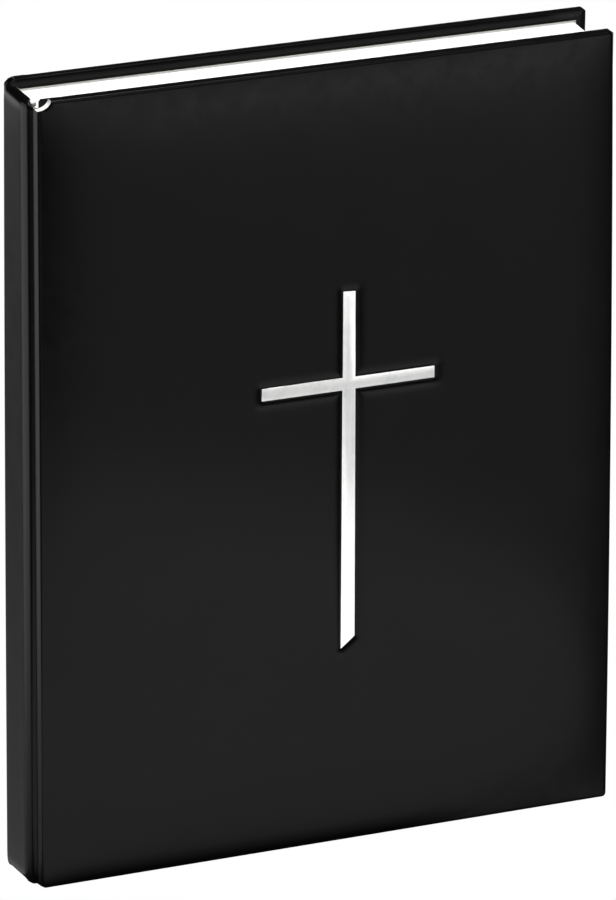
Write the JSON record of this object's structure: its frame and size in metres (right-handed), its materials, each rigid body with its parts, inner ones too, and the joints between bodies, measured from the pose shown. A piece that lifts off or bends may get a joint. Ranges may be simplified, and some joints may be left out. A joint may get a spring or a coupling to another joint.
{
  "type": "padded hardcover bible",
  "caption": "Slim large-format closed book with padded black leather covers, a plain inlaid cross on the front, flat spine, pressed joints and white page edges.",
  "frame": {"origin": "centre of the standing book's bounding box, at its base: the plane of the covers' tail edges", "axes": "+Z from the tail to the head of the upright book, -X out of the spine, -Y out of the front cover, +Y out of the back cover"},
  "size_m": [0.23, 0.0366, 0.3],
  "materials": {
    "black_leather": "smooth satin bonded leather",
    "bright_metal": "bright polished plate",
    "white_foam": "soft closed foam",
    "greyboard": "matte grey board",
    "endpaper": "matte heavy paper",
    "page_paper": "thin white matte paper",
    "spine_card": "matte card",
    "binding_cloth": "open woven cotton",
    "white_thread": "wound cotton thread"
  },
  "bodies": {
    "text_block": {"spine_leather": "black_leather", "front_joint_leather": "black_leather", "back_joint_leather": "black_leather", "spine_inlay": "spine_card", "spine_lining": "endpaper", "mull": "binding_cloth", "sewing_tape_tail": "binding_cloth", "sewing_tape_middle": "binding_cloth", "sewing_tape_head": "binding_cloth", "headband_head": "white_thread", "headband_tail": "white_thread", "kettle_stitch_head": "white_thread", "kettle_stitch_tail": "white_thread", "gathering_01": "page_paper", "gathering_02": "page_paper", "gathering_03": "page_paper", "gathering_04": "page_paper", "gathering_05": "page_paper", "gathering_06": "page_paper", "gathering_07": "page_paper", "gathering_08": "page_paper", "gathering_09": "page_paper", "gathering_10": "page_paper", "gathering_11": "page_paper", "gathering_12": "page_paper", "gathering_13": "page_paper", "gathering_14": "page_paper", "gathering_15": "page_paper", "gathering_16": "page_paper", "gathering_17": "page_paper", "gathering_18": "page_paper", "gathering_19": "page_paper", "gathering_20": "page_paper"},
    "front_cover": {"front_cover_leather": "black_leather", "front_padding": "white_foam", "front_board": "greyboard", "front_pastedown": "endpaper", "cross": "bright_metal"},
    "back_cover": {"back_cover_leather": "black_leather", "back_padding": "white_foam", "back_board": "greyboard", "back_pastedown": "endpaper"},
    "front_flyleaf": {"front_flyleaf": "endpaper"},
    "front_leaf_1": {"front_leaf_1": "page_paper"},
    "front_leaf_2": {"front_leaf_2": "page_paper"},
    "front_leaf_3": {"front_leaf_3": "page_paper"},
    "back_flyleaf": {"back_flyleaf": "endpaper"},
    "back_leaf_1": {"back_leaf_1": "page_paper"},
    "back_leaf_2": {"back_leaf_2": "page_paper"}
  },
  "joints": [
    {"name": "front_cover_hinge", "type": "hinge", "parent": "text_block", "child": "front_cover", "pos_m": [-0.1137, -0.0121, 0.15], "axis": [0, 0, -1], "range_deg": [0, 180], "deforming": ["front_joint_leather"]},
    {"name": "back_cover_hinge", "type": "hinge", "parent": "text_block", "child": "back_cover", "pos_m": [-0.1137, 0.0121, 0.15], "axis": [0, 0, 1], "range_deg": [0, 180], "deforming": ["back_joint_leather"]},
    {"name": "front_flyleaf_turn", "type": "hinge", "parent": "text_block", "child": "front_flyleaf", "pos_m": [-0.11045, -0.01185, 0.15], "axis": [0, 0, -1], "range_deg": [0, 145]},
    {"name": "front_leaf_1_turn", "type": "hinge", "parent": "text_block", "child": "front_leaf_1", "pos_m": [-0.10945, -0.01135, 0.15], "axis": [0, 0, -1], "range_deg": [0, 109]},
    {"name": "front_leaf_2_turn", "type": "hinge", "parent": "text_block", "child": "front_leaf_2", "pos_m": [-0.10845, -0.01085, 0.15], "axis": [0, 0, -1], "range_deg": [0, 73]},
    {"name": "front_leaf_3_turn", "type": "hinge", "parent": "text_block", "child": "front_leaf_3", "pos_m": [-0.10745, -0.01035, 0.15], "axis": [0, 0, -1], "range_deg": [0, 37]},
    {"name": "back_flyleaf_turn", "type": "hinge", "parent": "text_block", "child": "back_flyleaf", "pos_m": [-0.11045, 0.01185, 0.15], "axis": [0, 0, 1], "range_deg": [0, 145]},
    {"name": "back_leaf_1_turn", "type": "hinge", "parent": "text_block", "child": "back_leaf_1", "pos_m": [-0.10945, 0.01135, 0.15], "axis": [0, 0, 1], "range_deg": [0, 100]},
    {"name": "back_leaf_2_turn", "type": "hinge", "parent": "text_block", "child": "back_leaf_2", "pos_m": [-0.10845, 0.01085, 0.15], "axis": [0, 0, 1], "range_deg": [0, 55]}
  ],
  "couplings": [
    {"joint": "front_flyleaf_turn", "follows": "front_cover_hinge", "ratio": 0.8},
    {"joint": "front_leaf_1_turn", "follows": "front_cover_hinge", "ratio": 0.6},
    {"joint": "front_leaf_2_turn", "follows": "front_cover_hinge", "ratio": 0.4},
    {"joint": "front_leaf_3_turn", "follows": "front_cover_hinge", "ratio": 0.2},
    {"joint": "back_flyleaf_turn", "follows": "back_cover_hinge", "ratio": 0.8},
    {"joint": "back_leaf_1_turn", "follows": "back_cover_hinge", "ratio": 0.55},
    {"joint": "back_leaf_2_turn", "follows": "back_cover_hinge", "ratio": 0.3}
  ]
}
